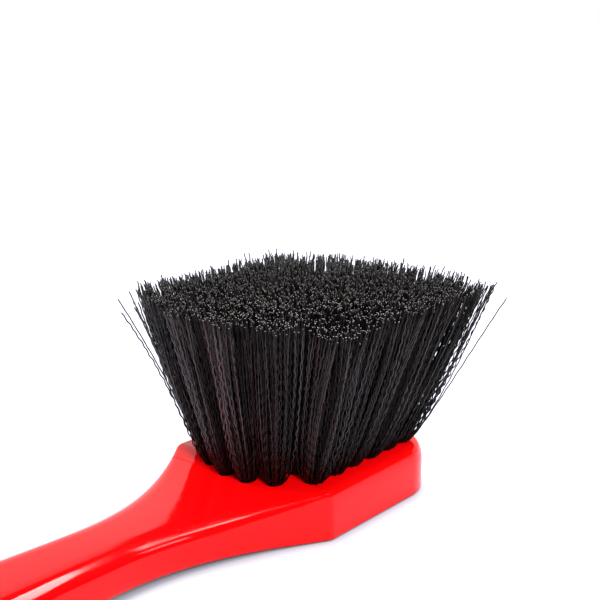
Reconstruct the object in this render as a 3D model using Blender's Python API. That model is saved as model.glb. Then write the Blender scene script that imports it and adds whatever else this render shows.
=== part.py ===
"""Wheel brush: a moulded handle block lying on its back, with bristle tufts standing in drilled holes.

Metres, +Z up. +X runs from the grip to the toe. The origin is on the block's flat back, under the middle of
the tuft field. Each tuft is drawn as the simple closed solid that its filaments fill.
"""

from math import asin, cos, pi, sin, sqrt

import bmesh
import bpy
from mathutils import Vector

# Handle block, seen from above
HEAD_WIDTH = 0.070
SIDE_LENGTH = 0.0455  # straight sides, from the shoulders to where the toe starts to round
TOE_LENGTH = 0.025  # the toe is half an ellipse as wide as the head
SHOULDER_RADIUS = 0.002
NECK_LENGTH = 0.066  # from the shoulders to where the neck has become the grip
NECK_CURVE = 1.87  # 1 would be a straight taper
GRIP_LENGTH = 0.0835  # from the neck to the end of the handle
GRIP_WIDTH = 0.0266
GRIP_END_WIDTH = 0.0304

# Handle block, seen from the side
HEAD_THICKNESS = 0.0164
GRIP_THICKNESS = 0.0128
THINNING_LENGTH = 0.060  # from the shoulders to where the handle has thinned to the grip
THINNING_CURVE = 2.4
BACK_RISE = 0.0036  # the back of the grip's end over the back of the head
RISE_START = 0.008  # distance behind the shoulders where the back leaves the flat
RISE_CURVE = 1.6

# Rounded edges, as (inwards, up or down)
HEAD_FACE_EDGE = (0.0018, 0.0061)
TOE_FACE_EDGE = (0.0040, 0.0061)
NECK_FACE_EDGE = (0.0004, 0.0006)
GRIP_FACE_EDGE = (0.0080, 0.0046)
HEAD_BACK_EDGE = (0.0008, 0.0008)
GRIP_BACK_EDGE = (0.0018, 0.0018)
EDGE_GROWTH_LENGTH = 0.050  # from the shoulders to where the neck's edges have grown to the grip's

# Hanging hole
HANG_HOLE_RADIUS = 0.0055
HANG_HOLE_CHAMFER = 0.0009

# Tuft field
TUFT_ROWS = ((-5, 6), (-3, 7), (-1, 8), (1, 8), (3, 7), (5, 6))  # half row pitches off the middle, tufts
ROW_PITCH = 0.0094
FIELD_LENGTH = 0.0666  # between the middles of the heel arc and the toe arc
HEEL_TO_SHOULDER = 0.0073  # how far the heel arc passes behind the shoulders
HEEL_ARC_RADIUS = 0.030
TOE_ARC_RADIUS = 0.0397
HOLE_RADIUS = 0.0032
HOLE_DEPTH = 0.010
TRIM = 0.0571  # bristle length over the block's face
TIP_FIELD_LENGTH = 0.0956
TIP_FIELD_WIDTH = 0.0786
TIP_FIELD_SHIFT = 0.002  # the tips lean this much towards the toe as a whole
TIP_GAP = 0.0011  # between the closest two tips

CLEARANCE = 0.0003  # between a tuft and its hole

OUTLINE_STEPS = 14  # points along each curved stretch of the outline
EDGE_STEPS = 4
ROUND_SIDES = 16
SAME_PLACE = 0.000002  # corners closer together than this are one corner

SHOULDER_X = -FIELD_LENGTH / 2 + HEEL_TO_SHOULDER
TOE_START_X = SHOULDER_X + SIDE_LENGTH
NECK_END_X = SHOULDER_X - NECK_LENGTH
GRIP_END_X = NECK_END_X - GRIP_LENGTH
GRIP_END_RADIUS = GRIP_END_WIDTH / 2
HANG_HOLE_X = GRIP_END_X + GRIP_END_RADIUS

RED_PLASTIC = (0.93, 0.003, 0.005, 1.0)
BLACK_BRISTLE = (0.014, 0.012, 0.013, 1.0)


def smooth(share):
    """0 to 1, easing in and out."""
    share = min(max(share, 0.0), 1.0)
    return share * share * (3 - 2 * share)


def mixed(first, second, share):
    return tuple(a + (b - a) * share for a, b in zip(first, second))


def material(name, color, roughness):
    made = bpy.data.materials.new(name)
    made.use_nodes = True
    shader = made.node_tree.nodes["Principled BSDF"]
    shader.inputs["Base Color"].default_value = color
    shader.inputs["Roughness"].default_value = roughness
    shader.inputs["Metallic"].default_value = 0.0
    return made


def object_from(bm, name, collection):
    bmesh.ops.recalc_face_normals(bm, faces=bm.faces)
    mesh = bpy.data.meshes.new(name)
    bm.to_mesh(mesh)
    bm.free()
    made = bpy.data.objects.new(name, mesh)
    collection.objects.link(made)
    return made


def neck_half_width(x):
    """Half width of the neck and grip, at a place behind the shoulders."""
    grip_run = (NECK_END_X - x) / (GRIP_LENGTH - GRIP_END_RADIUS)
    grip = GRIP_WIDTH / 2 + (GRIP_END_WIDTH - GRIP_WIDTH) / 2 * smooth(grip_run)
    flare = max(x - NECK_END_X, 0.0) / NECK_LENGTH
    return grip + (HEAD_WIDTH - GRIP_WIDTH) / 2 * flare**NECK_CURVE


def shoulder_fillet():
    """Arc that rounds the corner between the neck and the straight side."""
    back = Vector((-SHOULDER_RADIUS, neck_half_width(SHOULDER_X - SHOULDER_RADIUS) - HEAD_WIDTH / 2))
    turn = Vector((-1.0, 0.0)).angle(back)
    centre = Vector((SHOULDER_X + SHOULDER_RADIUS * sin(turn / 2), HEAD_WIDTH / 2 - SHOULDER_RADIUS))
    angles = [pi / 2 + turn * (1 - k / EDGE_STEPS) for k in range(EDGE_STEPS + 1)]
    return [centre + SHOULDER_RADIUS * Vector((cos(a), sin(a))) for a in angles]


def mitre_x():
    """Where the side's rounded edge runs out through the neck's upright wall."""
    slope = (HEAD_WIDTH - GRIP_WIDTH) / 2 * NECK_CURVE / NECK_LENGTH
    return SHOULDER_X - HEAD_FACE_EDGE[0] / slope


def half_outline():
    """The block's outline on the +Y side, from the end of the grip to the toe, both on the middle line."""
    points = []
    for k in range(OUTLINE_STEPS):  # round end of the grip
        angle = pi / 2 * k / OUTLINE_STEPS
        points.append(Vector((HANG_HOLE_X - GRIP_END_RADIUS * cos(angle), GRIP_END_RADIUS * sin(angle))))
    fillet = shoulder_fillet()
    stretches = ((HANG_HOLE_X, mitre_x(), 2 * OUTLINE_STEPS), (mitre_x(), fillet[0].x, EDGE_STEPS))
    for start, end, steps in stretches:
        for k in range(steps):  # grip and neck
            x = start + (end - start) * k / steps
            points.append(Vector((x, neck_half_width(x))))
    points += fillet
    for k in range(1, 4):  # straight side
        points.append(Vector((fillet[-1].x + (TOE_START_X - fillet[-1].x) * k / 4, HEAD_WIDTH / 2)))
    for k in range(OUTLINE_STEPS + 1):  # toe
        angle = pi / 2 * (1 - k / OUTLINE_STEPS)
        points.append(Vector((TOE_START_X + TOE_LENGTH * cos(angle), HEAD_WIDTH / 2 * sin(angle))))
    points[-1].y = 0.0
    return points


def back_height(x):
    """The back is flat under the head and rises gently along the grip."""
    start = SHOULDER_X - RISE_START
    share = min(max(start - x, 0.0) / (start - GRIP_END_X), 1.0)
    return BACK_RISE * (1 - (1 - share) ** RISE_CURVE)


def face_height(x):
    left = 1 - min(max(SHOULDER_X - x, 0.0) / THINNING_LENGTH, 1.0)
    return back_height(x) + GRIP_THICKNESS + (HEAD_THICKNESS - GRIP_THICKNESS) * left**THINNING_CURVE


def grown(x):
    """How far the neck's edges have grown to the grip's, from 0 to 1."""
    left = 1 - min(max(SHOULDER_X - x, 0.0) / EDGE_GROWTH_LENGTH, 1.0)
    return 1 - left * left


def face_edge(point):
    """How far the rounded edge round the face reaches in and down."""
    if point.x > TOE_START_X:
        return mixed(HEAD_FACE_EDGE, TOE_FACE_EDGE, smooth((point.x - TOE_START_X) / TOE_LENGTH))
    return mixed(NECK_FACE_EDGE, GRIP_FACE_EDGE, grown(point.x))


def section(point, inward):
    """Places up the block's wall at one point of its outline, over both rounded edges: (x, y, z) each."""
    turns = [pi / 2 * k / EDGE_STEPS for k in range(EDGE_STEPS + 1)]
    reach, rise = mixed(HEAD_BACK_EDGE, GRIP_BACK_EDGE, grown(point.x))
    places = []
    for turn in turns:
        place = point + inward * reach * (1 - sin(turn))
        places.append((place.x, place.y, back_height(point.x) + rise * (1 - cos(turn))))
    across = 1 if point.y > 0 else -1
    inset = HEAD_WIDTH / 2 - abs(point.y)
    if mitre_x() <= point.x <= TOE_START_X:  # the side's edge, cut off by the neck's wall behind the shoulder
        reach, rise = HEAD_FACE_EDGE
        first = asin(min(max(1 - inset / reach, 0.0), 1.0))
        turns = [first * k / EDGE_STEPS for k in range(EDGE_STEPS + 1)]
        point = Vector((point.x, across * HEAD_WIDTH / 2))
        inward = Vector((0.0, -across))
    else:
        reach, rise = face_edge(point)
    for turn in reversed(turns):
        place = point + inward * reach * (1 - sin(turn))
        places.append((place.x, place.y, face_height(point.x) - rise * (1 - cos(turn))))
    return places


def block_rings():
    """The loft's sections: the outline at rising heights, drawn in where an edge is rounded."""
    half = half_outline()
    around = half + [Vector((p.x, -p.y)) for p in reversed(half[1:-1])]
    sections = []
    for k, point in enumerate(around):
        along = around[(k + 1) % len(around)] - around[k - 1]
        sections.append(section(point, Vector((along.y, -along.x)).normalized()))
    return list(zip(*sections))


def handle_block(collection, cutters):
    bm = bmesh.new()
    rings = [[bm.verts.new(co) for co in ring] for ring in block_rings()]
    count = len(rings[0])
    for low, high in zip(rings, rings[1:]):
        for k in range(count):
            after = (k + 1) % count
            bm.faces.new((low[k], low[after], high[after], high[k]))
    for ring in (rings[0], rings[-1]):  # flat across, from one side's points to the other's
        for k in range(count // 2):
            corners = dict.fromkeys((ring[k], ring[k + 1], ring[count - k - 1], ring[-k]))
            bm.faces.new(tuple(corners))
    bmesh.ops.remove_doubles(bm, verts=bm.verts, dist=SAME_PLACE)
    block = object_from(bm, "handle_block", collection)
    for cutter in (tuft_hole_cutter(cutters), hang_hole_cutter(cutters)):
        cut = block.modifiers.new(cutter.name, "BOOLEAN")
        cut.operation = "DIFFERENCE"
        cut.solver = "EXACT"
        cut.object = cutter
    return block


def hang_hole_cutter(cutters):
    """A through hole with a chamfer at both faces."""
    face, back = face_height(HANG_HOLE_X), back_height(HANG_HOLE_X)
    bm = bmesh.new()
    middle = Vector((HANG_HOLE_X, 0.0, (face + back) / 2))
    depth = face - back + 2 * HANG_HOLE_RADIUS
    made = bmesh.ops.create_cone(
        bm,
        cap_ends=True,
        segments=2 * ROUND_SIDES,
        radius1=HANG_HOLE_RADIUS,
        radius2=HANG_HOLE_RADIUS,
        depth=depth,
    )
    bmesh.ops.translate(bm, verts=made["verts"], vec=middle)
    cutter = object_from(bm, "hang_hole_cutter", cutters)
    wide = HANG_HOLE_RADIUS + 2 * HANG_HOLE_CHAMFER
    for name, height, up in (("face", face, 1), ("back", back, -1)):
        bm = bmesh.new()
        made = bmesh.ops.create_cone(
            bm,
            cap_ends=True,
            segments=2 * ROUND_SIDES,
            radius1=HANG_HOLE_RADIUS if up > 0 else wide,
            radius2=wide if up > 0 else HANG_HOLE_RADIUS,
            depth=2 * HANG_HOLE_CHAMFER,
        )
        bmesh.ops.translate(bm, verts=made["verts"], vec=(HANG_HOLE_X, 0.0, height))
        chamfer = object_from(bm, f"hang_hole_{name}_chamfer", cutters)
        join = cutter.modifiers.new(chamfer.name, "BOOLEAN")
        join.operation = "UNION"
        join.solver = "EXACT"
        join.object = chamfer
    return cutter


def tuft_places():
    """Name, place on the block's face and place of the tip's middle, for each tuft from heel to toe."""
    places = []
    for row, (offset, count) in enumerate(TUFT_ROWS, 1):
        y = offset * ROW_PITCH / 2
        heel = -FIELD_LENGTH / 2 + HEEL_ARC_RADIUS - sqrt(HEEL_ARC_RADIUS**2 - y * y)
        toe = FIELD_LENGTH / 2 - TOE_ARC_RADIUS + sqrt(TOE_ARC_RADIUS**2 - y * y)
        widest = max(abs(o) for o, _ in TUFT_ROWS) * ROW_PITCH
        for k in range(count):
            x = heel + (toe - heel) * k / (count - 1)
            root = Vector((x, y, HEAD_THICKNESS))
            tip_x = x * TIP_FIELD_LENGTH / FIELD_LENGTH + TIP_FIELD_SHIFT
            tip = Vector((tip_x, y * TIP_FIELD_WIDTH / widest, HEAD_THICKNESS + TRIM))
            places.append((f"tuft_row{row}_{k + 1}", root, tip))
    return places


def tip_radius(places):
    """Half of what the closest two tips leave each other."""
    tips = [tip for _, _, tip in places]
    closest = min((a - b).length for k, a in enumerate(tips) for b in tips[:k])
    return (closest - TIP_GAP) / 2


def tuft_hole_cutter(cutters):
    """Every blind hole, drilled along its tuft's lean."""
    bm = bmesh.new()
    over = 2 * HOLE_RADIUS
    for _, root, tip in tuft_places():
        lean = (tip - root).normalized()
        made = bmesh.ops.create_cone(
            bm,
            cap_ends=True,
            segments=ROUND_SIDES,
            radius1=HOLE_RADIUS,
            radius2=HOLE_RADIUS,
            depth=HOLE_DEPTH + over,
            matrix=lean.to_track_quat("Z", "Y").to_matrix().to_4x4(),
        )
        bmesh.ops.translate(bm, verts=made["verts"], vec=root + lean * (over - HOLE_DEPTH) / 2)
    return object_from(bm, "tuft_hole_cutter", cutters)


def tuft(name, root, tip, wide, collection):
    """A round stem in its hole, opening to a wide tip that is trimmed level."""
    lean = tip - root
    length = lean.length
    over = wide
    stem = HOLE_RADIUS - CLEARANCE
    opening = (wide - stem) / length
    bm = bmesh.new()
    made = bmesh.ops.create_cone(
        bm,
        cap_ends=True,
        segments=ROUND_SIDES,
        radius1=stem,
        radius2=stem + opening * (length + over),
        depth=length + over,
    )
    bmesh.ops.translate(bm, verts=made["verts"], vec=(0, 0, (length + over) / 2))
    bottom = min(bm.faces, key=lambda face: face.calc_center_median().z)
    sunk = bmesh.ops.extrude_face_region(bm, geom=[bottom])
    deeper = [v for v in sunk["geom"] if isinstance(v, bmesh.types.BMVert)]
    bmesh.ops.translate(bm, verts=deeper, vec=(0, 0, CLEARANCE - HOLE_DEPTH))
    bm.faces.remove(bottom)
    turn = lean.to_track_quat("Z", "Y")
    upright = turn.inverted() @ Vector((0, 0, 1))
    every = bm.verts[:] + bm.edges[:] + bm.faces[:]
    trimmed = bmesh.ops.bisect_plane(
        bm, geom=every, plane_co=(0, 0, length), plane_no=upright, clear_outer=True
    )
    rim = [e for e in trimmed["geom_cut"] if isinstance(e, bmesh.types.BMEdge)]
    bmesh.ops.contextual_create(bm, geom=rim)
    made = object_from(bm, name, collection)
    made.location = root
    made.rotation_mode = "QUATERNION"
    made.rotation_quaternion = turn
    return made


def collection_named(name):
    made = bpy.data.collections.new(name)
    bpy.context.scene.collection.children.link(made)
    return made


def build():
    for old in list(bpy.data.objects):
        bpy.data.objects.remove(old)
    parts = collection_named("wheel_brush")
    cutters = collection_named("cutters")
    block = handle_block(parts, cutters)
    block.data.materials.append(material("red_plastic", RED_PLASTIC, 0.22))
    bristle = material("black_bristle", BLACK_BRISTLE, 0.55)
    places = tuft_places()
    wide = tip_radius(places)
    for name, root, tip in places:
        tuft(name, root, tip, wide, parts).data.materials.append(bristle)
    for cutter in cutters.objects:
        cutter.hide_render = True
        cutter.display_type = "WIRE"


build()
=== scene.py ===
"""Looks of the wheel brush, on a pale floor.

A glossy red moulded block, 42 tufts of crimped black filaments folded into its holes, and their staples.
"""

from math import cos, pi, radians, sin, sqrt

import bmesh
import bpy
import numpy as np
from mathutils import Matrix, Vector

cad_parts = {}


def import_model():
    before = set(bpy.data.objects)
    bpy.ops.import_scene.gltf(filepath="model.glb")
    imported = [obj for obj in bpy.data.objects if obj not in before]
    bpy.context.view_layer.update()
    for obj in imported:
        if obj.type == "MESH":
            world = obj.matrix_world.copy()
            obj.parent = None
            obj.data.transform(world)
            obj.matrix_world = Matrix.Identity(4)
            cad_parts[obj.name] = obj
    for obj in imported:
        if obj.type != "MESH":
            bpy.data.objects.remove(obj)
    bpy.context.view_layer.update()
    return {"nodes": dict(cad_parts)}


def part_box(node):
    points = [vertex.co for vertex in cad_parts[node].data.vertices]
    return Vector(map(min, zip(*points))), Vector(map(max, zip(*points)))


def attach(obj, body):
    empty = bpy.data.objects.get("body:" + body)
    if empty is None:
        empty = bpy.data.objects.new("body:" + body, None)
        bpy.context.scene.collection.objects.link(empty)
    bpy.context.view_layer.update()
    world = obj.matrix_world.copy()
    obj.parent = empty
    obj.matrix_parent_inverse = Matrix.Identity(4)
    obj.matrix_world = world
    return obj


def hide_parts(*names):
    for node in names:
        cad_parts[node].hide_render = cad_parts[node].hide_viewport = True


MM = 0.001

# Camera, in metres, with the lens and sensor in millimetres
CAMERA_PLACE = Vector((-0.2802, -0.2344, 0.1592))
CAMERA_AIM = Vector((0.0064, 0.0056, 0.0672))
CAMERA_LENS = 65.7
CAMERA_SENSOR = 36.0
CAMERA_NEAREST = 0.01

# Block, as in the CAD model, in metres
HEAD_WIDTH = 0.070
SIDE_LENGTH = 0.0455  # straight sides, from the shoulders to where the toe starts to round
TOE_LENGTH = 0.025  # the toe is half an ellipse as wide as the head
NECK_LENGTH = 0.066  # from the shoulders to where the neck has become the grip
NECK_CURVE = 1.87  # 1 would be a straight taper
GRIP_LENGTH = 0.0835  # from the neck to the end of the handle
GRIP_WIDTH = 0.0266
GRIP_END_WIDTH = 0.0304

# Handle block, seen from the side
HEAD_THICKNESS = 0.0164
GRIP_THICKNESS = 0.0128
THINNING_LENGTH = 0.060  # from the shoulders to where the handle has thinned to the grip
THINNING_CURVE = 2.4
BACK_RISE = 0.0036  # the back of the grip's end over the back of the head
RISE_START = 0.008  # distance behind the shoulders where the back leaves the flat
RISE_CURVE = 1.6

# Rounded edges, as (inwards, up or down)
HEAD_FACE_EDGE = (0.0018, 0.0061)
TOE_FACE_EDGE = (0.0040, 0.0061)
NECK_FACE_EDGE = (0.0004, 0.0006)
GRIP_FACE_EDGE = (0.0080, 0.0046)
HEAD_BACK_EDGE = (0.0008, 0.0008)
GRIP_BACK_EDGE = (0.0018, 0.0018)
EDGE_GROWTH_LENGTH = 0.050  # from the shoulders to where the neck's edges have grown to the grip's

# Hanging hole
HANG_HOLE_RADIUS = 0.0055
HANG_HOLE_CHAMFER = 0.0009

# Tuft holes, along their own lean
HOLE_RADIUS = 0.0032
HOLE_DEPTH = 0.010

# Shoulder corner, and how finely the block is drawn
CORNER_BLEND = 0.0010  # how far the corner between the neck's wall and the side is rounded
CORNER_RUN = 0.009  # how far to each side of the shoulders that rounding is drawn
CORNER_STEPS = 40
OUTLINE_STEPS = 40
EDGE_STEPS = 12
HOLE_SIDES = 40
SAME_PLACE = 0.000002  # corners closer together than this are one corner
SHARP_ANGLE = 32.0  # degrees
CUT_PAST = 0.004  # how much longer than the grip is thick the hanging hole's cutter is
FOOT_SLICE = 0.003  # how much of a CAD tuft's foot its middle is taken from
TIP_SLICE = 0.0001

# Filaments, in millimetres
FOLDED_FILAMENTS = 55  # in each tuft, each with two ends
FILAMENT_RADIUS = 0.26
TUBE_SIDES = 3
BUNDLE_RADIUS = 2.85
SQUARENESS = 0.75  # how far the round bundle becomes square at the tips, so that neighbours close up
FLARE_CURVE = 0.44  # 1 would open the tuft evenly from the hole's mouth to the tip
FREE_RINGS = 84
LOCKS = 12  # groups of filaments in a tuft whose crimps run together
CRIMP_PERIOD = (3.4, 4.3)
CRIMP_DEPTH = (0.15, 0.38)
CRIMP_RAMP = 5.0  # from the hole's mouth to where the crimp has its full depth
CRIMP_FADE = 0.55  # share of the crimp's depth left at the tip
PERIOD_SPREAD = 0.02
PHASE_DRIFT = 0.7  # radians that a crimp runs early and late
PHASE_DRIFT_LENGTH = 9.0  # length over which that drift turns by one radian
SIDE_CRIMP = 0.35  # depth of the slower crimp square to the main one, as a share of it
SIDE_CRIMP_PACE = 0.5
LOCK_LOOSENESS = 0.55  # radians that a filament's crimp strays from its lock's
BOW = 0.7  # how far a lock bends out halfway up
BOW_SPREAD = 0.35  # how far a filament bends away from its lock
SWAY = 0.245  # how far a filament snakes to both sides
TIP_SCATTER = 0.9
TIP_LOW = 0.3
TIP_RAGGED = 0.65
SPIKE_SHARE = 0.12  # share of filaments that stand above the rest
TIP_SPIKE = 2.2
SPLAY = 0.06  # how much further out the tips stand on the side towards SPLAY_SIDE
SPLAY_SIDE = np.array((0.65, -0.76))
WORN_TUFT = "tuft_row1_1"
WORN_DEPTH = 6.5  # how much shorter the tips are at the worn corner
WORN_RANGE = (0.2, 1.0)  # least and most of that depth, filament by filament
WORN_REACH = 8.0
STRAY_SHARE = 0.02
STRAY_REACH = 2.6
STRAY_DROP = 0.15  # how much lower a stray's tip is for each millimetre that it strays
CELL_X = 7.1  # half the length and width that a tuft's tips cover
CELL_Y = 8.1
OUTLIERS = {  # filaments that leave the field: tuft, then how far each tip is moved
    "tuft_row6_1": ((-2.6, 4.8, -4.0), (-1.6, 3.4, -2.6), (-1.2, 2.2, -5.0)),
    "tuft_row5_1": ((-4.2, 2.4, -4.2), (-2.2, 1.0, -2.2)),
    "tuft_row1_6": ((2.4, -2.6, -5.0),),
}
OUTLIER_CURVE = 2.2  # how late along its length an outlier leaves
OUTLIER_TAKEN = 50.0  # pushes a filament that has left already out of the next choice
PAINTED_LIGHT_START = 0.03  # share of the free length where the painted light on the filaments starts
PAINTED_LIGHT_FULL = 0.45
PAINTED_SHADE_TIP = 0.09  # share of the free length, under the cut, where painted shade darkens them again
PAINTED_SHADE_TIP_LEFT = 0.08  # share of the lightness left at the cut, under that painted shade
PAINTED_SHADE_FOOT = 0.06  # share of the lightness left in the tuft's foot, where painted shade darkens the filaments
TONE_AND_HIGHLIGHT_CONTRAST = 3.0  # 1 would spread the filaments evenly from dark to light; the few light ones are a painted highlight on filaments that catch the light
STAPLE_SIZE = (5.0, 0.45, 1.3)
STAPLE_ROUNDING = 0.12
FOLD_DEPTH = 9.3
FOLD_DROP = 0.35  # how far the bend of the fold hangs below FOLD_DEPTH
FOLD_GAP = 0.14  # each side of the fold stays this far from the staple's middle
FOLD_STAGES = (  # depth in the hole, and shares of the bundle's width across and along the staple
    (FOLD_DEPTH, 0.12, 0.8),
    (FOLD_DEPTH - 0.5, 0.3, 0.8),
    (FOLD_DEPTH - 2.5, 0.75, 0.95),
    (3.0, 0.98, 0.95),
)
SEED = 7

# Colours, each of which drifts between its two
# the bristle's lighter colour is a painted highlight for filaments that catch the light
BRISTLE_AND_HIGHLIGHT_COLORS = ((0.0010, 0.0008, 0.0008), (0.088, 0.073, 0.074))
# the cut ends' colours are paler than the filament's partly as a painted highlight on the upward-facing cut
CUT_END_AND_HIGHLIGHT_COLORS = ((0.02, 0.017, 0.017), (0.22, 0.193, 0.186))
RED_COLORS = ((0.98, 0.0012, 0.0022), (0.92, 0.0009, 0.0016))
STEEL_COLOR = (0.62, 0.62, 0.63)

# Studio: a backdrop is white away from its direction, up to the plane square to it, and fades out past that
BACKDROP_EDGE = (-0.60, -0.60, 1.0)  # the tall backdrop behind the brush
HORIZON_EDGE = (0.0, 0.0, 8.0)  # the low one all round
BACKDROP_FADE = 0.08
STUDIO_LIGHT = 0.04  # above the backdrops
FLOOR_REACH = 6.0  # from the floor's middle to each side
FLOOR_DROP = 0.0002  # how far the floor lies under the brush
PAINTED_SHADOW_REACH = 0.006  # how far the painted contact shadow under the block spreads over the floor's glow
FLOOR_COLOR = (0.16, 0.165, 0.23)
FLOOR_GLOW = 0.88  # what the camera and gloss see on top of the lit floor, which makes it white, less the painted contact shadow under the block
SOFTBOXES = {  # place, what it faces, size in metres, power in watts
    "overhead_softbox": ((-0.10, -0.05, 1.0), (0, 0, 0), (0.5, 0.5), 3.0),
    "far_softbox": ((0.39, -0.04, 1.0), (0.39, -0.04, 0), (0.47, 0.70), 26.0),
    "right_softbox": ((0.60, -1.05, 1.0), (0.60, -1.05, 0), (0.4, 0.4), 5.0),
    "back_softbox": ((-0.5, 0.8, 0.8), (0, 0, 0), (0.4, 0.4), 6.0),
    "front_fill": ((-0.70, -1.0, 0.9), (0, 0, 0.03), (0.4, 0.4), 26.0),
}

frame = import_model()

TOE_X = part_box("handle_block")[1][0]
TOE_START_X = TOE_X - TOE_LENGTH
SHOULDER_X = TOE_START_X - SIDE_LENGTH
NECK_END_X = SHOULDER_X - NECK_LENGTH
GRIP_END_X = NECK_END_X - GRIP_LENGTH
GRIP_END_RADIUS = GRIP_END_WIDTH / 2
HANG_HOLE_X = GRIP_END_X + GRIP_END_RADIUS


# ---------------------------------------------------------------- materials


def new_material(name, color, roughness, specular=0.5):
    made = bpy.data.materials.new(name)
    made.use_nodes = True
    shader = made.node_tree.nodes["Principled BSDF"]
    shader.inputs["Base Color"].default_value = (*color, 1.0)
    shader.inputs["Roughness"].default_value = roughness
    shader.inputs["Specular IOR Level"].default_value = specular
    return made, made.node_tree, shader


def noise(tree, scale, detail=2.0, roughness=0.5, stretch=(1, 1, 1)):
    place = tree.nodes.new("ShaderNodeTexCoord")
    mapping = tree.nodes.new("ShaderNodeMapping")
    mapping.inputs["Scale"].default_value = stretch
    made = tree.nodes.new("ShaderNodeTexNoise")
    made.inputs["Scale"].default_value = scale
    made.inputs["Detail"].default_value = detail
    made.inputs["Roughness"].default_value = roughness
    tree.links.new(place.outputs["Object"], mapping.inputs["Vector"])
    tree.links.new(mapping.outputs["Vector"], made.inputs["Vector"])
    return made.outputs["Fac"]


def ranged(tree, source, low, high, start=0.0, end=1.0):
    made = tree.nodes.new("ShaderNodeMapRange")
    made.inputs["From Min"].default_value = start
    made.inputs["From Max"].default_value = end
    made.inputs["To Min"].default_value = low
    made.inputs["To Max"].default_value = high
    tree.links.new(source, made.inputs["Value"])
    return made.outputs["Result"]


def mixed_color(tree, share, colors):
    made = tree.nodes.new("ShaderNodeMix")
    made.data_type = "RGBA"
    made.inputs["A"].default_value = (*colors[0], 1.0)
    made.inputs["B"].default_value = (*colors[1], 1.0)
    tree.links.new(share, made.inputs["Factor"])
    return made.outputs["Result"]


def largest(tree, sources):
    first, *others = sources
    for other in others:
        made = tree.nodes.new("ShaderNodeMath")
        made.operation = "MAXIMUM"
        tree.links.new(first, made.inputs[0])
        tree.links.new(other, made.inputs[1])
        first = made.outputs["Value"]
    return first


def bump(tree, shader, height, distance, strength=1.0, below=None):
    made = tree.nodes.new("ShaderNodeBump")
    made.inputs["Distance"].default_value = distance
    made.inputs["Strength"].default_value = strength
    tree.links.new(height, made.inputs["Height"])
    if below is not None:
        tree.links.new(below, made.inputs["Normal"])
    tree.links.new(made.outputs["Normal"], shader.inputs["Normal"])
    return made.outputs["Normal"]


def red_plastic():
    """Glossy moulded plastic: faint colour drift, a slow waviness from shrinkage and fine handling marks."""
    made, tree, shader = new_material("red_plastic", RED_COLORS[1], roughness=0.09, specular=0.2)
    drift = ranged(tree, noise(tree, scale=26.0), 0.0, 1.0, start=0.3, end=0.7)
    tree.links.new(mixed_color(tree, drift, RED_COLORS), shader.inputs["Base Color"])
    handled = noise(tree, scale=60.0, detail=6.0, roughness=0.6, stretch=(0.5, 1.6, 1.6))
    tree.links.new(ranged(tree, handled, 0.05, 0.10, start=0.35, end=0.75), shader.inputs["Roughness"])
    waves = noise(tree, scale=55.0, detail=1.0, roughness=0.4)
    slow = bump(tree, shader, waves, distance=0.00008, strength=0.25)
    bump(tree, shader, noise(tree, scale=700.0), distance=0.00002, strength=0.15, below=slow)
    return made


def bristle():
    """Black polypropylene filament, each one a little different in tone, the lighter ones a painted
    highlight for filaments that catch the light, with painted shade in the tuft's foot and under the cut.
    """
    made, tree, shader = new_material("black_bristle", BRISTLE_AND_HIGHLIGHT_COLORS[0], roughness=0.42, specular=0.25)
    # this attribute carries each filament's tone with painted light and painted shade along its length
    tone_and_painted_light = tree.nodes.new("ShaderNodeAttribute")
    tone_and_painted_light.attribute_name = "tone_and_painted_light"
    tree.links.new(mixed_color(tree, tone_and_painted_light.outputs["Fac"], BRISTLE_AND_HIGHLIGHT_COLORS), shader.inputs["Base Color"])
    grain = ranged(tree, noise(tree, scale=900.0), 0.26, 0.42, start=0.3, end=0.7)
    tree.links.new(grain, shader.inputs["Roughness"])
    return made


def cut_end():
    """The flat cut across a filament, paler than its side as a painted highlight on the upward-facing cut,
    and paler still where the blade has stressed it.
    """
    made, tree, shader = new_material("bristle_cut_end", CUT_END_AND_HIGHLIGHT_COLORS[1], roughness=0.6)
    stressed = noise(tree, scale=420.0, detail=1.0)
    tree.links.new(mixed_color(tree, stressed, CUT_END_AND_HIGHLIGHT_COLORS), shader.inputs["Base Color"])
    return made


def steel():
    """Drawn staple wire."""
    made, tree, shader = new_material("staple_wire", STEEL_COLOR, roughness=0.3)
    shader.inputs["Metallic"].default_value = 1.0
    drawn = noise(tree, scale=800.0, detail=3.0)
    tree.links.new(ranged(tree, drawn, 0.22, 0.42), shader.inputs["Roughness"])
    return made


# ---------------------------------------------------------------- handle block


def smooth(share):
    share = min(max(share, 0.0), 1.0)
    return share * share * (3 - 2 * share)


def mixed(first, second, share):
    return tuple(a + (b - a) * share for a, b in zip(first, second))


def neck_half_width(x):
    """Half width of the neck and grip, at a place behind the shoulders."""
    grip_run = (NECK_END_X - x) / (GRIP_LENGTH - GRIP_END_RADIUS)
    grip = GRIP_WIDTH / 2 + (GRIP_END_WIDTH - GRIP_WIDTH) / 2 * smooth(grip_run)
    flare = max(x - NECK_END_X, 0.0) / NECK_LENGTH
    return grip + (HEAD_WIDTH - GRIP_WIDTH) / 2 * flare**NECK_CURVE


def blended(first, second):
    """The smaller of two widths, rounded where they cross."""
    return min(first, second) - max(CORNER_BLEND - abs(first - second), 0.0) ** 2 / (4 * CORNER_BLEND)


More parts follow.
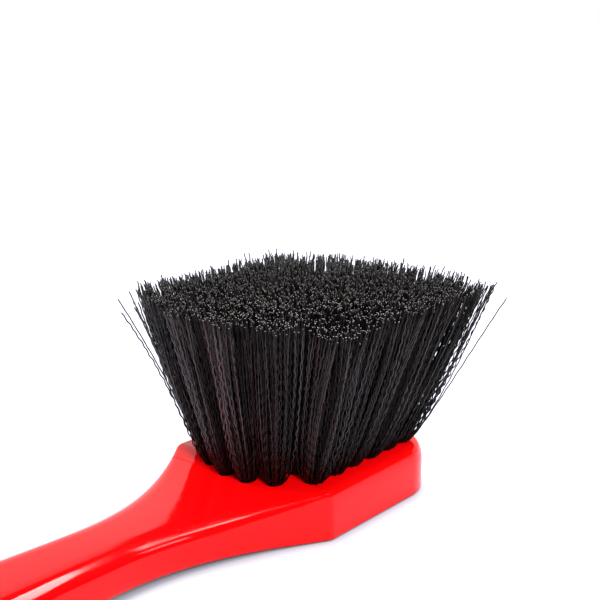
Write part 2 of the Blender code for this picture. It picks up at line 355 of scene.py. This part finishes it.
def half_outline():
    """The block's outline on the +Y side, from the end of the grip to the toe, both on the middle line."""
    points = []
    for k in range(OUTLINE_STEPS):  # round end of the grip
        angle = pi / 2 * k / OUTLINE_STEPS
        points.append(Vector((HANG_HOLE_X - GRIP_END_RADIUS * cos(angle), GRIP_END_RADIUS * sin(angle))))
    corner_start, corner_end = SHOULDER_X - CORNER_RUN, SHOULDER_X + CORNER_RUN
    stretches = (
        (HANG_HOLE_X, corner_start, 3 * OUTLINE_STEPS),
        (corner_start, corner_end, CORNER_STEPS),
        (corner_end, TOE_START_X, OUTLINE_STEPS // 4),
    )
    for start, end, steps in stretches:
        for k in range(steps):  # grip, neck, shoulder and straight side
            x = start + (end - start) * k / steps
            points.append(Vector((x, blended(HEAD_WIDTH / 2, neck_half_width(x)))))
    for k in range(OUTLINE_STEPS + 1):  # toe
        angle = pi / 2 * (1 - k / OUTLINE_STEPS)
        points.append(Vector((TOE_START_X + TOE_LENGTH * cos(angle), HEAD_WIDTH / 2 * sin(angle))))
    points[-1].y = 0.0
    return points


def back_height(x):
    """The back is flat under the head and rises gently along the grip."""
    start = SHOULDER_X - RISE_START
    share = min(max(start - x, 0.0) / (start - GRIP_END_X), 1.0)
    return BACK_RISE * (1 - (1 - share) ** RISE_CURVE)


def face_height(x):
    left = 1 - min(max(SHOULDER_X - x, 0.0) / THINNING_LENGTH, 1.0)
    return back_height(x) + GRIP_THICKNESS + (HEAD_THICKNESS - GRIP_THICKNESS) * left**THINNING_CURVE


def grown(x):
    """How far the neck's edges have grown to the grip's, from 0 to 1."""
    left = 1 - min(max(SHOULDER_X - x, 0.0) / EDGE_GROWTH_LENGTH, 1.0)
    return 1 - left * left


def face_edge(point):
    """How far the rounded edge round the face reaches in and down."""
    if point.x > TOE_START_X:
        return mixed(HEAD_FACE_EDGE, TOE_FACE_EDGE, smooth((point.x - TOE_START_X) / TOE_LENGTH))
    return mixed(NECK_FACE_EDGE, GRIP_FACE_EDGE, grown(point.x))


def section(point, inward):
    """Places up the block's wall at one point of its outline, over both rounded edges: (x, y, z) each."""
    turns = [pi / 2 * k / EDGE_STEPS for k in range(EDGE_STEPS + 1)]
    reach, rise = mixed(HEAD_BACK_EDGE, GRIP_BACK_EDGE, grown(point.x))
    places = []
    for turn in turns:
        place = point + inward * reach * (1 - sin(turn))
        places.append((place.x, place.y, back_height(point.x) + rise * (1 - cos(turn))))
    across = 1 if point.y > 0 else -1
    if SHOULDER_X - CORNER_RUN <= point.x < TOE_START_X:  # the side's edge runs out through the neck's wall
        reach, rise = HEAD_FACE_EDGE
        neck_reach, neck_rise = mixed(NECK_FACE_EDGE, GRIP_FACE_EDGE, grown(point.x))
        for turn in reversed(turns):
            down = rise * (1 - cos(turn))
            left = 1 - min(down / neck_rise, 1.0)
            wall = neck_half_width(point.x) - neck_reach * (1 - sqrt(1 - left * left))
            y = blended(HEAD_WIDTH / 2 - reach * (1 - sin(turn)), wall)
            places.append((point.x, across * y, face_height(point.x) - down))
        return places
    reach, rise = face_edge(point)
    for turn in reversed(turns):
        place = point + inward * reach * (1 - sin(turn))
        places.append((place.x, place.y, face_height(point.x) - rise * (1 - cos(turn))))
    return places


def block_rings():
    """The loft's sections: the outline at rising heights, drawn in where an edge is rounded."""
    half = half_outline()
    around = half + [Vector((p.x, -p.y)) for p in reversed(half[1:-1])]
    sections = []
    for k, point in enumerate(around):
        along = around[(k + 1) % len(around)] - around[k - 1]
        sections.append(section(point, Vector((along.y, -along.x)).normalized()))
    return list(zip(*sections))


def linked(mesh, name):
    made = bpy.data.objects.new(name, mesh)
    bpy.context.scene.collection.objects.link(made)
    return made


def object_from(bm, name):
    bmesh.ops.recalc_face_normals(bm, faces=bm.faces)
    mesh = bpy.data.meshes.new(name)
    bm.to_mesh(mesh)
    bm.free()
    return linked(mesh, name)


def cone(bm, low, high, depth, matrix):
    bmesh.ops.create_cone(
        bm, cap_ends=True, segments=HOLE_SIDES, radius1=low, radius2=high, depth=depth, matrix=matrix
    )


def cut_by(block, cutter):
    cut = block.modifiers.new(cutter.name, "BOOLEAN")
    cut.operation = "DIFFERENCE"
    cut.solver = "EXACT"
    cut.object = cutter
    bpy.context.view_layer.update()
    evaluated = block.evaluated_get(bpy.context.evaluated_depsgraph_get())
    mesh = bpy.data.meshes.new_from_object(evaluated)
    block.modifiers.clear()
    block.data = mesh
    bpy.data.objects.remove(cutter)


def handle_block(tufts):
    bm = bmesh.new()
    rings = [[bm.verts.new(co) for co in ring] for ring in block_rings()]
    count = len(rings[0])
    for low, high in zip(rings, rings[1:]):
        for k in range(count):
            after = (k + 1) % count
            bm.faces.new((low[k], low[after], high[after], high[k]))
    for ring in (rings[0], rings[-1]):
        for k in range(count // 2):
            corners = dict.fromkeys((ring[k], ring[k + 1], ring[count - k - 1], ring[-k]))
            bm.faces.new(tuple(corners))
    bmesh.ops.remove_doubles(bm, verts=bm.verts, dist=SAME_PLACE)
    block = object_from(bm, "handle_block_moulding")
    bm = bmesh.new()
    over = 2 * HOLE_RADIUS
    for foot, tip in tufts.values():
        lean = (tip - foot).normalized()
        mouth = foot + lean * (HEAD_THICKNESS - foot.z) / lean.z
        turn = lean.to_track_quat("Z", "Y").to_matrix().to_4x4()
        matrix = Matrix.Translation(mouth + lean * (over - HOLE_DEPTH) / 2) @ turn
        cone(bm, HOLE_RADIUS, HOLE_RADIUS, HOLE_DEPTH + over, matrix)
    cut_by(block, object_from(bm, "tuft_holes"))
    face, back = face_height(HANG_HOLE_X), back_height(HANG_HOLE_X)
    bm = bmesh.new()
    wide = HANG_HOLE_RADIUS + 2 * HANG_HOLE_CHAMFER
    middle = Matrix.Translation((HANG_HOLE_X, 0, (face + back) / 2))
    cone(bm, HANG_HOLE_RADIUS, HANG_HOLE_RADIUS, face - back + CUT_PAST, middle)
    cut_by(block, object_from(bm, "hang_hole"))
    chamfers = (("face", face, HANG_HOLE_RADIUS, wide), ("back", back, wide, HANG_HOLE_RADIUS))
    for name, height, low, high in chamfers:
        bm = bmesh.new()
        cone(bm, low, high, 2 * HANG_HOLE_CHAMFER, Matrix.Translation((HANG_HOLE_X, 0, height)))
        cut_by(block, object_from(bm, f"hang_hole_{name}_chamfer"))
    block.data.shade_smooth()
    block.data.set_sharp_from_angle(angle=radians(SHARP_ANGLE))
    block.data.materials.clear()
    block.data.materials.append(red_plastic())
    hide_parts("handle_block")
    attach(block, "root")


# ---------------------------------------------------------------- tufts


def tuft_lines():
    """Foot and tip of each CAD tuft's middle line, by node name."""
    lines = {}
    for name, node in frame["nodes"].items():
        if not name.startswith("tuft"):
            continue
        points = np.array([v.co for v in node.data.vertices])
        low, high = points[:, 2].min(), points[:, 2].max()
        foot = points[points[:, 2] < low + FOOT_SLICE].mean(axis=0)
        tip = points[points[:, 2] > high - TIP_SLICE].mean(axis=0)
        lines[name] = (Vector(foot), Vector(tip))
    return lines


def disc(count):
    """Evenly spread places in a unit disc."""
    k = np.arange(count)
    reach = np.sqrt((k + 0.5) / count)
    turn = k * pi * (3 - 5**0.5)
    return np.stack([reach * np.cos(turn), reach * np.sin(turn)], axis=1)


def squared(places):
    """Unit disc stretched part of the way to a square, so that neighbouring tips close up."""
    turn = np.arctan2(places[:, 1], places[:, 0])
    grow = np.maximum(np.abs(np.cos(turn)), np.abs(np.sin(turn))) ** -SQUARENESS
    return places * grow[:, None]


def tuft_paths(foot, tip, worn, moved, rng):
    """Places along every folded filament of a tuft: filaments x rings x 3, in millimetres."""
    ends = 2 * FOLDED_FILAMENTS
    lean = (tip - foot) / np.linalg.norm(tip - foot)
    across = np.cross([0.0, 1.0, 0.0], lean)
    across /= np.linalg.norm(across)
    beside = np.cross(lean, across)
    mouth = foot + lean * (HEAD_THICKNESS / MM - foot[2]) / lean[2]
    places = disc(ends)
    order = np.argsort(places[:, 1])
    near, far = order[:FOLDED_FILAMENTS], order[FOLDED_FILAMENTS:]
    near = near[np.argsort(places[near, 0])]
    far = far[np.argsort(places[far, 0])]
    places = places[np.concatenate([near, far])]

    at_mouth = mouth + BUNDLE_RADIUS * (places[:, :1] * across + places[:, 1:] * beside)
    spread = squared(places) + rng.normal(0, TIP_SCATTER / CELL_X, places.shape)
    at_tip = np.empty((ends, 3))
    at_tip[:, 0] = tip[0] + CELL_X * spread[:, 0]
    at_tip[:, 1] = tip[1] + CELL_Y * spread[:, 1]
    at_tip[:, 2] = tip[2] - TIP_LOW + rng.normal(0, TIP_RAGGED, ends)
    spike = rng.random(ends) < SPIKE_SHARE
    at_tip[spike, 2] += rng.uniform(0, TIP_SPIKE, spike.sum())
    at_tip[:, :2] += SPLAY * np.maximum(at_tip[:, :2] @ SPLAY_SIDE, 0.0)[:, None] * SPLAY_SIDE
    apart = np.linalg.norm(at_tip[:, :2] - worn[:2], axis=1) / WORN_REACH
    at_tip[:, 2] -= WORN_DEPTH * np.exp(-apart * apart) * rng.uniform(*WORN_RANGE, ends)
    stray = rng.random(ends) < STRAY_SHARE
    outward = rng.normal(0, STRAY_REACH, (ends, 2))
    at_tip[stray, :2] += outward[stray]
    at_tip[stray, 2] -= np.abs(outward[stray]).sum(axis=1) * STRAY_DROP
    leaving = np.zeros((ends, 3))
    for move in moved:
        k = np.argmax((at_tip - tip - leaving * OUTLIER_TAKEN)[:, :2] @ move[:2])
        leaving[k] = move

    share = np.linspace(0, 1, FREE_RINGS)[None, :, None]
    axis_foot = at_mouth.mean(axis=0)
    axis_tip = np.array([tip[0], tip[1], 0]) + (at_tip * [0, 0, 1])
    middle = axis_foot + (axis_tip[:, None] - axis_foot) * share
    aside_mouth, aside_tip = at_mouth - axis_foot, at_tip - axis_tip
    free = middle + aside_mouth[:, None] + (aside_tip - aside_mouth)[:, None] * share**FLARE_CURVE
    free += leaving[:, None] * share**OUTLIER_CURVE
    length = np.linalg.norm(at_tip - at_mouth, axis=1)
    run = share[..., 0] * length[:, None]
    lock = (np.arctan2(places[:, 1], places[:, 0]) / (2 * pi) * LOCKS).astype(int) % LOCKS
    loose = rng.normal(0, LOCK_LOOSENESS, (2, ends))
    turn = rng.uniform(0, 2 * pi, LOCKS)[lock] + loose[0]
    wave_dir = np.cos(turn)[:, None] * across + np.sin(turn)[:, None] * beside
    side_dir = -np.sin(turn)[:, None] * across + np.cos(turn)[:, None] * beside
    depth = rng.uniform(*CRIMP_DEPTH, ends)[:, None] * np.clip(run / CRIMP_RAMP, 0, 1)
    depth *= 1 - (1 - CRIMP_FADE) * share[..., 0]
    period = rng.uniform(*CRIMP_PERIOD, LOCKS)[lock] * rng.normal(1, PERIOD_SPREAD, ends)
    phase = (rng.uniform(0, 2 * pi, LOCKS)[lock] + loose[1])[:, None] + 2 * pi * run / period[:, None]
    drift = rng.uniform(0, 2 * pi, LOCKS)[lock][:, None]
    wave = depth * np.sin(phase + PHASE_DRIFT * np.sin(run / PHASE_DRIFT_LENGTH + drift))
    side = SIDE_CRIMP * depth * np.sin(SIDE_CRIMP_PACE * phase + drift)
    bow = rng.normal(0, BOW, (LOCKS, 2))[lock] + rng.normal(0, BOW_SPREAD, (ends, 2))
    bend = np.sin(pi * share[..., 0])
    sway = rng.normal(0, SWAY, (ends, 2))
    snake = np.sin(2 * pi * share[..., 0])
    offset_wave = wave + bow[:, :1] * bend + sway[:, :1] * snake
    offset_side = side + bow[:, 1:] * bend + sway[:, 1:] * snake
    free += offset_wave[..., None] * wave_dir[:, None] + offset_side[..., None] * side_dir[:, None]

    sunk = []
    for depth_in, narrowed, shortened in FOLD_STAGES:
        aside = places[:, 1:] * narrowed
        aside = np.where(np.abs(aside) < FOLD_GAP, np.sign(aside) * FOLD_GAP, aside)
        along = places[:, :1] * shortened
        sunk.append(mouth - lean * depth_in + BUNDLE_RADIUS * (along * across + aside * beside))
    sunk = np.stack(sunk, axis=1)
    whole = np.concatenate([sunk, free], axis=1)
    first, second = whole[:FOLDED_FILAMENTS], whole[FOLDED_FILAMENTS:]
    fold = (first[:, :1] + second[:, :1]) / 2 - lean * FOLD_DROP
    return np.concatenate([first[:, ::-1], fold, second], axis=1), across


def tubes(paths, guide):
    """Tubes along the paths, with a flat cut at each end: vertices, side quads and end caps."""
    count, rings, _ = paths.shape
    along = np.gradient(paths, axis=1)
    along /= np.linalg.norm(along, axis=2, keepdims=True)
    first = guide - (along * guide).sum(axis=2, keepdims=True) * along
    first /= np.linalg.norm(first, axis=2, keepdims=True)
    second = np.cross(along, first)
    corners = []
    for k in range(TUBE_SIDES):
        turn = 2 * pi * k / TUBE_SIDES
        corners.append(paths + FILAMENT_RADIUS * (cos(turn) * first + sin(turn) * second))
    points = np.stack(corners, axis=2)
    index = np.arange(count * rings * TUBE_SIDES).reshape(count, rings, TUBE_SIDES)
    a, b = index[:, :-1], index[:, 1:]
    quads = np.stack([a, np.roll(a, -1, 2), np.roll(b, -1, 2), b], axis=-1).reshape(-1, 4)
    caps = np.concatenate([index[:, 0, ::-1], index[:, -1]])
    return points.reshape(-1, 3), quads, caps


def filament_tones_and_painted_light(rings, rng):
    """Painted light and shade along each filament, times its own tone: dark in the tuft's foot and again
    just under the cut as painted shade, lighter between as painted light.
    """
    share = np.linspace(0, 1, FREE_RINGS)
    rise = np.clip((share - PAINTED_LIGHT_START) / (PAINTED_LIGHT_FULL - PAINTED_LIGHT_START), 0, 1)
    fall = np.clip((1 - share) / PAINTED_SHADE_TIP, 0, 1)
    # painted light up the filament, with painted shade in the foot and under the cut
    light = rise * rise * (3 - 2 * rise) * (PAINTED_SHADE_TIP_LEFT + (1 - PAINTED_SHADE_TIP_LEFT) * fall)
    end = np.concatenate([np.zeros((rings - 2 * FREE_RINGS) // 2), light])
    along = np.concatenate([end[::-1], [0.0], end])
    # each filament's tone, the lighter ones a painted highlight
    each = rng.random(FOLDED_FILAMENTS) ** TONE_AND_HIGHLIGHT_CONTRAST
    return each[:, None] * (PAINTED_SHADE_FOOT + (1 - PAINTED_SHADE_FOOT) * along)


def tuft(name, foot, tip, worn, rng, materials):
    """One tuft's filaments, in one mesh."""
    moved = np.array(OUTLIERS.get(name, ()))
    foot, tip, worn = (np.array(place) / MM for place in (foot, tip, worn))
    paths, guide = tuft_paths(foot, tip, worn, moved, rng)
    points, quads, caps = tubes(paths, guide)
    mesh = bpy.data.meshes.new(name)
    loops = np.concatenate([quads.ravel(), caps.ravel()])
    starts = np.concatenate([np.arange(len(quads)) * 4, quads.size + np.arange(len(caps)) * TUBE_SIDES])
    mesh.vertices.add(len(points))
    mesh.vertices.foreach_set("co", (points * MM).astype(np.float32).ravel())
    mesh.loops.add(len(loops))
    mesh.loops.foreach_set("vertex_index", loops.astype(np.int32))
    mesh.polygons.add(len(starts))
    mesh.polygons.foreach_set("loop_start", starts.astype(np.int32))
    mesh.update(calc_edges=True)
    mesh.shade_smooth()
    cut = np.zeros(len(starts), dtype=np.int32)
    cut[len(quads):] = 1
    for item in materials:
        mesh.materials.append(item)
    mesh.polygons.foreach_set("material_index", cut)
    mesh.polygons.foreach_set("use_smooth", cut == 0)
    # tone with painted light and shade per vertex: painted shade in the foot and under the cut, painted
    # highlight on the light filaments
    tone_and_painted_light = mesh.attributes.new("tone_and_painted_light", "FLOAT", "POINT")
    each = np.repeat(filament_tones_and_painted_light(paths.shape[1], rng).ravel(), TUBE_SIDES)
    tone_and_painted_light.data.foreach_set("value", each.astype(np.float32))
    mesh.validate()
    made = linked(mesh, f"{name}_filaments")
    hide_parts(name)
    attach(made, "root")


def staples(tufts):
    """The flat wire staples across the folds, in one mesh."""
    bm = bmesh.new()
    for foot, tip in tufts.values():
        lean = (tip - foot).normalized()
        mouth = foot + lean * (HEAD_THICKNESS - foot.z) / lean.z
        across = Vector((0, 1, 0)).cross(lean).normalized()
        turn = Matrix((across, lean.cross(across), lean)).transposed().to_4x4()
        place = mouth - lean * (FOLD_DEPTH - STAPLE_SIZE[2] / 2) * MM
        size = Matrix.Diagonal((*(side * MM for side in STAPLE_SIZE), 1.0))
        bmesh.ops.create_cube(bm, size=1.0, matrix=Matrix.Translation(place) @ turn @ size)
    made = object_from(bm, "staples")
    round_off = made.modifiers.new("rounded", "BEVEL")
    round_off.width = STAPLE_ROUNDING * MM
    round_off.segments = 2
    made.data.materials.append(steel())
    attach(made, "root")


# ---------------------------------------------------------------- camera, floor and light


def camera():
    data = bpy.data.cameras.new("camera")
    data.lens = CAMERA_LENS
    data.sensor_width = CAMERA_SENSOR
    data.clip_start = CAMERA_NEAREST
    made = bpy.data.objects.new("camera", data)
    bpy.context.scene.collection.objects.link(made)
    made.location = CAMERA_PLACE
    made.rotation_euler = (CAMERA_AIM - CAMERA_PLACE).to_track_quat("-Z", "Y").to_euler()
    bpy.context.scene.camera = made


def floor():
    """A pale floor that keeps the brush's shadow, with a painted contact shadow darkening its glow under the
    block, and is white to the camera and in the brush's gloss.
    """
    bm = bmesh.new()
    bmesh.ops.create_grid(bm, x_segments=1, y_segments=1, size=FLOOR_REACH)
    made = object_from(bm, "floor")
    made.location.z = -FLOOR_DROP
    material, tree, shader = new_material("white_floor", FLOOR_COLOR, roughness=0.5, specular=0.35)
    light = tree.nodes.new("ShaderNodeEmission")
    light.inputs["Strength"].default_value = FLOOR_GLOW
    # painted contact shadow: ambient occlusion darkens the glow under the block
    painted_contact_shadow = tree.nodes.new("ShaderNodeAmbientOcclusion")
    painted_contact_shadow.inputs["Distance"].default_value = PAINTED_SHADOW_REACH
    tree.links.new(painted_contact_shadow.outputs["Color"], light.inputs["Color"])
    add = tree.nodes.new("ShaderNodeAddShader")
    seen = tree.nodes.new("ShaderNodeLightPath")
    choose = tree.nodes.new("ShaderNodeMixShader")
    tree.links.new(shader.outputs["BSDF"], add.inputs[0])
    tree.links.new(light.outputs["Emission"], add.inputs[1])
    rays = [seen.outputs[f"Is {kind} Ray"] for kind in ("Camera", "Glossy", "Transmission")]
    tree.links.new(largest(tree, rays), choose.inputs["Fac"])
    tree.links.new(shader.outputs["BSDF"], choose.inputs[1])
    tree.links.new(add.outputs["Shader"], choose.inputs[2])
    tree.links.new(choose.outputs["Shader"], tree.nodes["Material Output"].inputs["Surface"])
    made.data.materials.append(material)


def world():
    """A studio with a low white backdrop all round, taller behind the brush, and dark above it."""
    made = bpy.data.worlds.new("studio")
    made.use_nodes = True
    tree = made.node_tree
    back = tree.nodes["Background"]
    place = tree.nodes.new("ShaderNodeTexCoord")
    shares = []
    for edge in (BACKDROP_EDGE, HORIZON_EDGE):
        toward = tree.nodes.new("ShaderNodeVectorMath")
        toward.operation = "DOT_PRODUCT"
        toward.inputs[1].default_value = edge
        tree.links.new(place.outputs["Generated"], toward.inputs[0])
        ramp = tree.nodes.new("ShaderNodeMapRange")
        ramp.interpolation_type = "SMOOTHSTEP"
        ramp.inputs["From Min"].default_value = 0.0
        ramp.inputs["From Max"].default_value = BACKDROP_FADE
        ramp.inputs["To Min"].default_value = 1.0
        ramp.inputs["To Max"].default_value = STUDIO_LIGHT
        tree.links.new(toward.outputs["Value"], ramp.inputs["Value"])
        shares.append(ramp.outputs["Result"])
    tree.links.new(largest(tree, shares), back.inputs["Color"])
    bpy.context.scene.world = made


def softbox(name, place, aim, size, power):
    """A rectangular lamp."""
    data = bpy.data.lights.new(name, "AREA")
    data.shape = "RECTANGLE"
    data.size, data.size_y = size
    data.energy = power
    made = bpy.data.objects.new(name, data)
    bpy.context.scene.collection.objects.link(made)
    made.location = place
    made.rotation_euler = (Vector(aim) - Vector(place)).to_track_quat("-Z", "Y").to_euler()


def build():
    tufts = tuft_lines()
    handle_block(tufts)
    rng = np.random.default_rng(SEED)
    materials = (bristle(), cut_end())
    for name, (foot, tip) in tufts.items():
        tuft(name, foot, tip, tufts[WORN_TUFT][1], rng, materials)
    staples(tufts)
    camera()
    floor()
    world()
    for name, settings in SOFTBOXES.items():
        softbox(name, *settings)
    bpy.context.scene.view_settings.view_transform = "Standard"


build()
